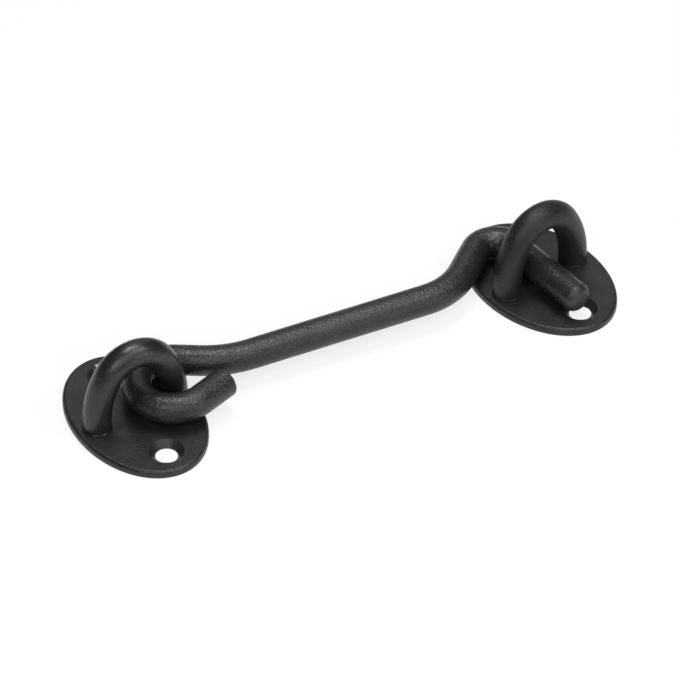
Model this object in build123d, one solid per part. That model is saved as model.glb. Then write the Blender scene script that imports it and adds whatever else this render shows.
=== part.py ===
from build123d import *
from math import acos, cos, degrees, radians, sin, tan
import os

# Cabin hook, latched. Millimetres and degrees. X runs along the hook from pivot to keeper, Y up the wall and
# Z out of the wall. The plates' backs lie on Z = 0, and the middle of the pivot plate's back is the origin.

# Round bars
hook_bar = 7.0  # diameter of the hook's bar
staple_bar = 6.6  # diameter of both staples' bar

# Oval plates
plate_length = 42.8
plate_width = 29.2
plate_thickness = 1.7
rim_round = 0.8  # rounding of the rim's front edge
screw_spacing = 29.0  # between a plate's two screw holes
screw_hole = 5.1
screw_sink = 8.0  # width of a countersink at the plate's face
sink_angle = 90.0

# Staples: an arch of bar on upright legs, each riveted through the plate by a tenon
leg_spacing = 19.3
leg_upright = 2.3  # straight part of a leg above the plate
shoulder_radius = 22.4  # bend above each leg
crown_tuck = 2.0  # how much tighter the crown's bend is than half the leg spacing
foot_round = 0.6  # rounding where a leg stands on the plate
tenon = 4.5
rivet_head = 6.4  # width of the tenon's head, spread into the plate's back
rivet_sink = 0.8  # depth of that head

# Hook, from the tail's tip round the eye to the peg
eye_clearance = 1.4  # room between the eye and the leg it turns on
plate_clearance = 0.9  # room between the hook and the plates
tail_run = 8.6
tail_angle = 22.8  # slope of the tail back toward the rod
tail_round = 0.5  # rounding of the tail's cut end
shank_run = 5.6
shank_angle = 27.6  # slope of the shank down to the rod
shank_radius = 24.5
rod_run = 43.6
rod_angle = 4.4  # slope of the rod down toward the keeper
rise_run = 8.8
rise_angle = 43.9  # slope of the bar up to the crook
rise_radius = 16.5
crook_radius = 5.0
peg_run = 24.3
peg_angle = 13.0  # how far the peg points away from square to the rod
peg_nose = 1.9  # rounding of the peg's tip

# Keeper, placed from the peg
peg_seat = 7.7  # from the crook's end to the middle of the keeper's staple
peg_offset = 1.65  # the peg stands this much nearer the staple's leg on the pivot's side

back_to_face = (Align.CENTER, Align.CENTER, Align.MIN)
face_to_back = (Align.CENTER, Align.CENTER, Align.MAX)


def heading_vector(heading):
    return Vector(cos(radians(heading)), sin(radians(heading)), 0)


# Centreline of a bent bar in the XY plane. A number in the bends is a straight run, and a pair is a bend's
# radius and turn, counter-clockwise where it is positive.
def bent_path(start, heading, bends):
    runs = []
    point = Vector(*start)
    for bend in bends:
        if isinstance(bend, tuple):
            runs.append(JernArc(point, heading_vector(heading), *bend))
            heading += bend[1]
        else:
            runs.append(Line(point, point + heading_vector(heading) * bend))
        point = runs[-1] @ 1
    return runs


def bar_along(path, diameter):
    return sweep(Plane(path @ 0, z_dir=path % 0) * Circle(diameter / 2), path)


# A staple's two tenons with their spread heads. The plate's rivet holes have the same shape.
def tenons():
    rivet = Cylinder(tenon / 2, plate_thickness, align=back_to_face)
    rivet += Cone(rivet_head / 2, tenon / 2, rivet_sink, align=back_to_face)
    return [Pos(side * leg_spacing / 2, 0, 0) * rivet for side in (-1, 1)]


def countersunk_hole():
    sink_depth = (screw_sink - screw_hole) / 2 / tan(radians(sink_angle / 2))
    hole = Cylinder(screw_hole / 2, plate_thickness, align=face_to_back)
    return hole + Cone(screw_hole / 2, screw_sink / 2, sink_depth, align=face_to_back)


def oval_plate():
    plate = extrude(Ellipse(plate_width / 2, plate_length / 2), plate_thickness)
    plate = fillet(plate.edges().group_by(Axis.Z)[-1], rim_round)
    for side in (-1, 1):
        plate -= Pos(0, side * screw_spacing / 2, plate_thickness) * countersunk_hole()
    return plate - tenons()


def staple():
    half_spacing = leg_spacing / 2
    crown_radius = half_spacing - crown_tuck
    lean = degrees(acos((shoulder_radius - half_spacing) / (shoulder_radius - crown_radius)))
    shoulder = (shoulder_radius, lean)
    crown = (crown_radius, 180 - 2 * lean)
    bends = [leg_upright, shoulder, crown, shoulder, leg_upright]
    path = Plane.XZ * Wire(bent_path((half_spacing, plate_thickness), 90, bends))
    arch = bar_along(path, staple_bar)
    feet = arch.faces().filter_by(GeomType.PLANE)
    return fillet(feet.edges(), foot_round) + tenons()


# The hook's centreline with the eye's centre at the origin and the rod along X
eye_radius = staple_bar / 2 + eye_clearance + hook_bar / 2
eye_start = heading_vector(tail_angle - 90) * eye_radius
tail_tip = eye_start + heading_vector(tail_angle) * tail_run
hook_runs = bent_path(tail_tip, 180 + tail_angle, [
    tail_run,
    (eye_radius, -(180 + tail_angle + shank_angle)),
    shank_run,
    (shank_radius, shank_angle),
    rod_run,
    (rise_radius, rise_angle),
    rise_run,
    (crook_radius, -(rise_angle + 90 - peg_angle)),
    peg_run,
])


def hook():
    path = Wire(hook_runs)
    bar = bar_along(path, hook_bar)
    for end, rounding in ((path @ 0, tail_round), (path @ 1, peg_nose)):
        cut_face = bar.faces().filter_by(GeomType.PLANE).sort_by_distance(end)[0]
        bar = fillet(cut_face.edges(), rounding)
    return bar


# The hook lies just clear of the plates, with its eye round the pivot staple's leg on the keeper's side
hook_height = plate_thickness + plate_clearance + hook_bar / 2
hook_place = Pos(leg_spacing / 2, 0, hook_height) * Rot(0, 0, -rod_angle)

# The keeper stands square to the peg
peg_axis = hook_runs[-1]
peg_along = peg_axis % 0
keeper_on_hook = peg_axis @ 0 + peg_along * peg_seat + peg_along.rotate(Axis.Z, 90) * peg_offset
keeper_point = (hook_place * Pos(keeper_on_hook)).position
keeper_turn = peg_angle - rod_angle
keeper_place = Pos(keeper_point.X, keeper_point.Y, 0) * Rot(0, 0, keeper_turn)

pieces = {
    "pivot_plate": oval_plate(),
    "pivot_staple": staple(),
    "hook_rod": hook_place * hook(),
    "keeper_plate": keeper_place * oval_plate(),
    "keeper_staple": keeper_place * staple(),
}

os.makedirs("parts", exist_ok=True)
for name, piece in pieces.items():
    piece.label = name
    export_step(piece, f"parts/{name}.step")
    print(name, "volume", round(piece.volume, 1), "mm3")
print("keeper centre", round(keeper_point.X, 3), round(keeper_point.Y, 3), "turned", round(keeper_turn, 3))
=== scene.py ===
from math import cos, pi, radians, sin
import bmesh
import bpy
from mathutils import Matrix, Vector, noise


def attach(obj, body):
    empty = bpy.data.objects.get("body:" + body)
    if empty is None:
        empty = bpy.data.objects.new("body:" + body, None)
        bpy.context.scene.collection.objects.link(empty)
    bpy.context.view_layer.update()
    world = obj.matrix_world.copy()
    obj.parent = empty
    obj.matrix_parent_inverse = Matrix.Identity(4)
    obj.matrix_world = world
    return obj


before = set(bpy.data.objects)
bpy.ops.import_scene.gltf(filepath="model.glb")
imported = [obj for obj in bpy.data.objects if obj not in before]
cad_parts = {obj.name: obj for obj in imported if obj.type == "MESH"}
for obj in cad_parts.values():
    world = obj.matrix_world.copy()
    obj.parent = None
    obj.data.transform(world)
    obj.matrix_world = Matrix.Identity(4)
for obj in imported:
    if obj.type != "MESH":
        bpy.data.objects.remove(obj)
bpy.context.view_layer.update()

print("frame loaded:", ", ".join(sorted(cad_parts)))

# baked black powder coat: gritty on the hook, glossy on the pivot staple,
# dull on the keeper staple and fine on the plates
hookCoat = {
    "colour": (0.018, 0.018, 0.0183),
    "specular": 0.45,
    "roughness": 0.34,
    "roughSpread": 0.10,  # how far the grit moves the roughness either way
    "grainScale": 2100,  # bumps per metre
    "grainDepth": 0.00013,
    "peel": 0.15,  # share of the slow ripple
    "speckColour": (0.05, 0.05, 0.05),
}
pivotStapleCoat = {
    "colour": (0.014, 0.014, 0.0143),
    "specular": 0.50,
    "roughness": 0.31,
    "roughSpread": 0.06,
    "grainScale": 2000,
    "grainDepth": 0.00004,
    "peel": 0.2,
    "speckColour": (0.05, 0.05, 0.05),
}
keeperStapleCoat = {
    "colour": (0.0145, 0.0145, 0.0148),
    "specular": 0.33,
    "roughness": 0.42,
    "roughSpread": 0.08,
    "grainScale": 2000,
    "grainDepth": 0.00010,
    "peel": 0.12,
    "speckColour": (0.05, 0.05, 0.05),
}
plateCoat = {
    "colour": (0.018, 0.018, 0.0184),
    "specular": 0.37,
    "roughness": 0.38,
    "roughSpread": 0.08,
    "grainScale": 2400,
    "grainDepth": 0.00010,
    "peel": 0.12,
    "speckColour": (0.22, 0.22, 0.22),
}
coatTone = {
    "dark": 0.7,  # shares of the coat's colour, from cloud to cloud
    "light": 1.3,
    "noiseLow": 0.3,  # the part of a noise that is spread over the whole range
    "noiseHigh": 0.7,
}


def newGroup(name, inputs, outputs):
    group = bpy.data.node_groups.new(name, "ShaderNodeTree")
    for label, kind in inputs:
        group.interface.new_socket(label, in_out="INPUT", socket_type=kind)
    for label, kind in outputs:
        group.interface.new_socket(label, in_out="OUTPUT", socket_type=kind)
    start = group.nodes.new("NodeGroupInput")
    end = group.nodes.new("NodeGroupOutput")
    return group, start, end


def link(tree, fromSocket, toSocket):
    tree.links.new(fromSocket, toSocket)


def mathNode(tree, operation, first, second):
    node = tree.nodes.new("ShaderNodeMath")
    node.operation = operation
    for socket, value in zip(node.inputs, (first, second)):
        if isinstance(value, (int, float)):
            socket.default_value = value
        else:
            link(tree, value, socket)
    return node.outputs[0]


def spread(tree, source, fromLow, fromHigh, toLow, toHigh):
    node = tree.nodes.new("ShaderNodeMapRange")
    node.inputs["From Min"].default_value = fromLow
    node.inputs["From Max"].default_value = fromHigh
    node.inputs["To Min"].default_value = toLow
    node.inputs["To Max"].default_value = toHigh
    link(tree, source, node.inputs["Value"])
    return node.outputs["Result"]


def noiseField(tree, vector, scale, detail):
    node = tree.nodes.new("ShaderNodeTexNoise")
    node.inputs["Detail"].default_value = detail
    link(tree, vector, node.inputs["Vector"])
    if isinstance(scale, (int, float)):
        node.inputs["Scale"].default_value = scale
    else:
        link(tree, scale, node.inputs["Scale"])
    return node.outputs["Fac"]


def mixColour(tree, factor, first, second):
    node = tree.nodes.new("ShaderNodeMix")
    node.data_type = "RGBA"
    link(tree, factor, node.inputs["Factor"])
    for label, value in (("A", first), ("B", second)):
        if isinstance(value, tuple):
            node.inputs[label].default_value = (*value, 1)
        else:
            link(tree, value, node.inputs[label])
    return node.outputs["Result"]


# grit and orange peel of the coat, slow clouds of tone, and specks of dust baked in
powderLook = {
    "gritDetail": 1.0,
    "peelScale": 0.3,  # of the grit's own scale
    "peelDetail": 1.0,
    "cloudScale": 170,
    "cloudDetail": 3.0,
    "speckScale": 520,
    "speckFrom": 0.86,  # only cells that draw more than this hold a speck
    "speckSize": 0.12,
}


def powderGrainGroup(look):
    inputs = [("Vector", "NodeSocketVector"), ("Scale", "NodeSocketFloat"), ("Peel", "NodeSocketFloat")]
    outputs = [(label, "NodeSocketFloat") for label in ("Height", "Grit", "Cloud", "Speck")]
    group, start, end = newGroup("powderGrain", inputs, outputs)
    vector = start.outputs["Vector"]
    scale = start.outputs["Scale"]
    grit = noiseField(group, vector, scale, look["gritDetail"])
    peelScale = mathNode(group, "MULTIPLY", scale, look["peelScale"])
    peel = noiseField(group, vector, peelScale, look["peelDetail"])
    cloud = noiseField(group, vector, look["cloudScale"], look["cloudDetail"])
    cells = group.nodes.new("ShaderNodeTexVoronoi")
    link(group, vector, cells.inputs["Vector"])
    cells.inputs["Scale"].default_value = look["speckScale"]
    speckSize = spread(group, cells.outputs["Color"], look["speckFrom"], 1.0, 0.0, look["speckSize"])
    speck = mathNode(group, "LESS_THAN", cells.outputs["Distance"], speckSize)
    height = mathNode(group, "ADD", grit, mathNode(group, "MULTIPLY", peel, start.outputs["Peel"]))
    link(group, height, end.inputs["Height"])
    link(group, grit, end.inputs["Grit"])
    link(group, cloud, end.inputs["Cloud"])
    link(group, speck, end.inputs["Speck"])
    return group


# speckled marks that fade out around one place, in metres: a rub on the crook, a painted highlight on the
# peg, a painted glint on a countersink's far rim and a patch of dust
wearAndGlintLook = {
    "speckleScale": 1700,
    "speckleDetail": 2.0,
    "centreGain": 0.35,  # how much more shows in the middle of a mark
    "edgeFade": 0.4,  # share of the reach over which a mark sets in
    "bareFrom": 0.62,
    "wearAndGlintTo": 0.76,
}
wearAndGlintPlaces = {
    "crookByTheLeg": {"centre": (0.0962, 0.0053, 0.0090), "reach": 0.0022, "colour": (0.075, 0.075, 0.074)},
    # painted highlight: a lighter speckled streak where the peg catches the light under the arch
    "pegHighlightUnderTheArch": {"centre": (0.1020, -0.0010, 0.0093), "reach": 0.0024, "colour": (0.08, 0.08, 0.079)},
    # painted glint: a near-white patch on the far rim of the pivot plate's back countersink
    "countersinkGlint": {"centre": (0.0004, 0.0179, 0.0013), "reach": 0.0015, "colour": (0.62, 0.62, 0.61)},
    "dustByAFoot": {"centre": (-0.0053, -0.0047, 0.0017), "reach": 0.0030, "colour": (0.038, 0.038, 0.0375)},
}


# mask for one mark, used alike for the real rub and dust and for the painted highlight and painted glint
def wearAndGlintMaskGroup(look):
    inputs = [("Vector", "NodeSocketVector"), ("Centre", "NodeSocketVector"), ("Reach", "NodeSocketFloat")]
    group, start, end = newGroup("wearAndGlintMask", inputs, [("Mask", "NodeSocketFloat")])
    away = group.nodes.new("ShaderNodeVectorMath")
    away.operation = "DISTANCE"
    link(group, start.outputs["Vector"], away.inputs[0])
    link(group, start.outputs["Centre"], away.inputs[1])
    share = mathNode(group, "DIVIDE", away.outputs["Value"], start.outputs["Reach"])
    fade = mathNode(group, "SUBTRACT", 1.0, share)
    speckle = noiseField(group, start.outputs["Vector"], look["speckleScale"], look["speckleDetail"])
    bare = mathNode(group, "ADD", speckle, mathNode(group, "MULTIPLY", fade, look["centreGain"]))
    near = spread(group, fade, 0.0, look["edgeFade"], 0.0, 1.0)
    wearAndGlintShown = spread(group, bare, look["bareFrom"], look["wearAndGlintTo"], 0.0, 1.0)
    link(group, mathNode(group, "MULTIPLY", near, wearAndGlintShown), end.inputs["Mask"])
    return group


def coatMaterial(name, coat, tone, grainGroup, wearAndGlintGroup):
    material = bpy.data.materials.new(name)
    material.use_nodes = True
    tree = material.node_tree
    shader = tree.nodes["Principled BSDF"]
    coords = tree.nodes.new("ShaderNodeTexCoord").outputs["Object"]
    grain = tree.nodes.new("ShaderNodeGroup")
    grain.node_tree = grainGroup
    grain.inputs["Scale"].default_value = coat["grainScale"]
    grain.inputs["Peel"].default_value = coat["peel"]
    link(tree, coords, grain.inputs["Vector"])
    dark = tuple(c * tone["dark"] for c in coat["colour"])
    light = tuple(c * tone["light"] for c in coat["colour"])
    clouds = spread(tree, grain.outputs["Cloud"], tone["noiseLow"], tone["noiseHigh"], 0.0, 1.0)
    colour = mixColour(tree, clouds, dark, light)
    colour = mixColour(tree, grain.outputs["Speck"], colour, coat["speckColour"])
    # mix in each mark's colour: the rub and the dust, and the painted highlight and painted glint
    for place in wearAndGlintPlaces.values():
        wearAndGlintNode = tree.nodes.new("ShaderNodeGroup")
        wearAndGlintNode.node_tree = wearAndGlintGroup
        wearAndGlintNode.inputs["Centre"].default_value = place["centre"]
        wearAndGlintNode.inputs["Reach"].default_value = place["reach"]
        link(tree, coords, wearAndGlintNode.inputs["Vector"])
        colour = mixColour(tree, wearAndGlintNode.outputs["Mask"], colour, place["colour"])
    link(tree, colour, shader.inputs["Base Color"])
    shader.inputs["Specular IOR Level"].default_value = coat["specular"]
    smooth = coat["roughness"] - coat["roughSpread"]
    dull = coat["roughness"] + coat["roughSpread"]
    rough = spread(tree, grain.outputs["Grit"], tone["noiseLow"], tone["noiseHigh"], smooth, dull)
    link(tree, rough, shader.inputs["Roughness"])
    bump = tree.nodes.new("ShaderNodeBump")
    bump.inputs["Distance"].default_value = coat["grainDepth"]
    link(tree, grain.outputs["Height"], bump.inputs["Height"])
    link(tree, bump.outputs["Normal"], shader.inputs["Normal"])
    return material


grainGroup = powderGrainGroup(powderLook)
wearAndGlintGroup = wearAndGlintMaskGroup(wearAndGlintLook)
coats = {
    "hook": coatMaterial("hookCoat", hookCoat, coatTone, grainGroup, wearAndGlintGroup),
    "pivotStaple": coatMaterial("pivotStapleCoat", pivotStapleCoat, coatTone, grainGroup, wearAndGlintGroup),
    "keeperStaple": coatMaterial("keeperStapleCoat", keeperStapleCoat, coatTone, grainGroup, wearAndGlintGroup),
    "plate": coatMaterial("plateCoat", plateCoat, coatTone, grainGroup, wearAndGlintGroup),
}
coatOfNode = {
    "hook_rod": "hook",
    "pivot_staple": "pivotStaple",
    "keeper_staple": "keeperStaple",
    "pivot_plate": "plate",
    "keeper_plate": "plate",
}
for nodeName, coatName in coatOfNode.items():
    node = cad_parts[nodeName]
    node.data.materials.clear()
    node.data.materials.append(coats[coatName])
print("coats on", len(coatOfNode), "nodes")

# beads of coat in the corner between each staple's feet and its plate
footBead = {
    "legSpacing": 0.0193,
    "ring": 0.00312,  # radius of the bead's run round the leg
    "thickness": 0.00030,
    "plateFace": 0.0017,
    "lift": 0.00012,  # middle of the bead above the plate's face
    "ragged": 0.00014,
    "raggedScale": 1100,
    "raggedInward": 0.3,  # draws the wobble in toward the leg
    "segments": 10,
    "steps": 96,
    "mergeDistance": 1e-7,
}
staplePlaces = {
    "pivot": {"centre": (0.0, 0.0), "turn": 0.0, "coat": "pivotStaple"},
    "keeper": {"centre": (0.102778, -0.004169), "turn": 8.6, "coat": "keeperStaple"},
}


def makeFootBead(name, look, foot, coat):
    shape = bmesh.new()
    made = bmesh.ops.create_circle(shape, segments=look["segments"], radius=look["thickness"])
    bmesh.ops.rotate(shape, verts=made["verts"], matrix=Matrix.Rotation(pi / 2, 3, "X"))
    bmesh.ops.translate(shape, verts=made["verts"], vec=(look["ring"], 0, look["plateFace"] + look["lift"]))
    bmesh.ops.spin(shape, geom=shape.verts[:] + shape.edges[:], axis=(0, 0, 1), cent=(0, 0, 0),
                   steps=look["steps"], angle=2 * pi, use_merge=True)
    bmesh.ops.remove_doubles(shape, verts=shape.verts, dist=look["mergeDistance"])
    for vert in shape.verts:
        outward = Vector((vert.co.x, vert.co.y, 0)).normalized()
        wobble = noise.noise((vert.co + foot) * look["raggedScale"])
        vert.co += outward * look["ragged"] * (wobble - look["raggedInward"])
    bmesh.ops.translate(shape, verts=shape.verts, vec=foot)
    bmesh.ops.recalc_face_normals(shape, faces=shape.faces)
    for face in shape.faces:
        face.smooth = True
    mesh = bpy.data.meshes.new(name)
    shape.to_mesh(mesh)
    shape.free()
    mesh.materials.append(coat)
    bead = bpy.data.objects.new(name, mesh)
    bpy.context.scene.collection.objects.link(bead)
    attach(bead, "plates")


for stapleName, place in staplePlaces.items():
    turn = Matrix.Rotation(radians(place["turn"]), 3, "Z")
    for sideName, side in (("left", -1), ("right", 1)):
        foot = Vector((*place["centre"], 0)) + turn @ Vector((side * footBead["legSpacing"] / 2, 0, 0))
        makeFootBead(f"{stapleName}_bead_{sideName}", footBead, foot, coats[place["coat"]])
print("foot beads made")

# white floor that keeps the shadow
floorLook = {
    "size": 3.0,
    "drop": 0.00005,  # a hair under the plates' backs
    "colour": (0.92, 0.92, 0.92, 1),
    "roughness": 0.8,
    "specular": 0.0,
    "whiten": 0.78,  # share of plain white that the camera and reflections see
    "whiteStrength": 1.0,
}


def makeFloor(look):
    mesh = bpy.data.meshes.new("floor")
    shape = bmesh.new()
    bmesh.ops.create_grid(shape, x_segments=1, y_segments=1, size=look["size"])
    shape.to_mesh(mesh)
    shape.free()
    floor = bpy.data.objects.new("floor", mesh)
    bpy.context.scene.collection.objects.link(floor)
    floor.location.z = -look["drop"]
    material = bpy.data.materials.new("floorPaper")
    material.use_nodes = True
    tree = material.node_tree
    paper = tree.nodes["Principled BSDF"]
    paper.inputs["Base Color"].default_value = look["colour"]
    paper.inputs["Roughness"].default_value = look["roughness"]
    paper.inputs["Specular IOR Level"].default_value = look["specular"]
    white = tree.nodes.new("ShaderNodeEmission")
    white.inputs["Strength"].default_value = look["whiteStrength"]
    path = tree.nodes.new("ShaderNodeLightPath")
    seen = mathNode(tree, "ADD", path.outputs["Is Camera Ray"], path.outputs["Is Glossy Ray"])
    seen = mathNode(tree, "ADD", seen, path.outputs["Is Transmission Ray"])
    seen = mathNode(tree, "MINIMUM", seen, 1.0)
    blend = tree.nodes.new("ShaderNodeMixShader")
    link(tree, mathNode(tree, "MULTIPLY", seen, look["whiten"]), blend.inputs["Fac"])
    link(tree, paper.outputs["BSDF"], blend.inputs[1])
    link(tree, white.outputs["Emission"], blend.inputs[2])
    link(tree, blend.outputs["Shader"], tree.nodes["Material Output"].inputs["Surface"])
    mesh.materials.append(material)


makeFloor(floorLook)

# camera at the photograph's angle: a long lens, level, looking down across the hook
view = {
    "azimuth": 29.67,
    "elevation": 41.03,
    "distance": 1.5997,
    "aim": (0.05299, 0.00064, 0.0),
    "lens": 373.85,
    "sensor": 36.0,
}

# soft studio light: panels placed round the view, their turn counted from the camera toward the right
worldLook = {"colour": (1, 1, 1, 1), "strength": 0.03}
panelDistance = 1.0
panels = {
    "frontPanel": {"turn": 2, "elevation": 44, "size": 0.9, "power": 4.1},
    "leftPanel": {"turn": -22, "elevation": 42, "size": 0.28, "power": 0.9},
    "lowPanel": {"turn": 54, "elevation": 18, "size": 0.5, "power": 1.8},
    "sidePanel": {"turn": 70, "elevation": 59, "size": 0.48, "power": 3.1},
    "topPanel": {"turn": 180, "elevation": 79, "size": 0.42, "power": 4.9},
    "backPanel": {"turn": 180, "elevation": 40, "size": 0.8, "power": 1.2},
}


def awayFrom(turn, elevation):
    turn = radians(turn)
    elevation = radians(elevation)
    return Vector((-sin(turn) * cos(elevation), -cos(turn) * cos(elevation), sin(elevation)))


def placeFacingAim(thing, outward, distance):
    thing.location = Vector(view["aim"]) + outward * distance
    thing.rotation_euler = (-outward).to_track_quat("-Z", "Y").to_euler()


def makeWorld(look):
    world = bpy.data.worlds.new("studioWorld")
    bpy.context.scene.world = world
    world.use_nodes = True
    background = world.node_tree.nodes["Background"]
    background.inputs["Color"].default_value = look["colour"]
    background.inputs["Strength"].default_value = look["strength"]


def makePanel(name, look):
    lamp = bpy.data.lights.new(name, "AREA")
    lamp.shape = "SQUARE"
    lamp.size = look["size"]
    lamp.energy = look["power"]
    panel = bpy.data.objects.new(name, lamp)
    bpy.context.scene.collection.objects.link(panel)
    placeFacingAim(panel, awayFrom(view["azimuth"] - look["turn"], look["elevation"]), panelDistance)


def makeCamera(look):
    data = bpy.data.cameras.new("camera")
    data.lens = look["lens"]
    data.sensor_width = look["sensor"]
    camera = bpy.data.objects.new("camera", data)
    bpy.context.scene.collection.objects.link(camera)
    placeFacingAim(camera, awayFrom(look["azimuth"], look["elevation"]), look["distance"])
    bpy.context.scene.camera = camera


makeWorld(worldLook)
for panelName, panelLook in panels.items():
    makePanel(panelName, panelLook)
makeCamera(view)
bpy.context.scene.view_settings.view_transform = "Standard"
print("floor, light and camera in place")
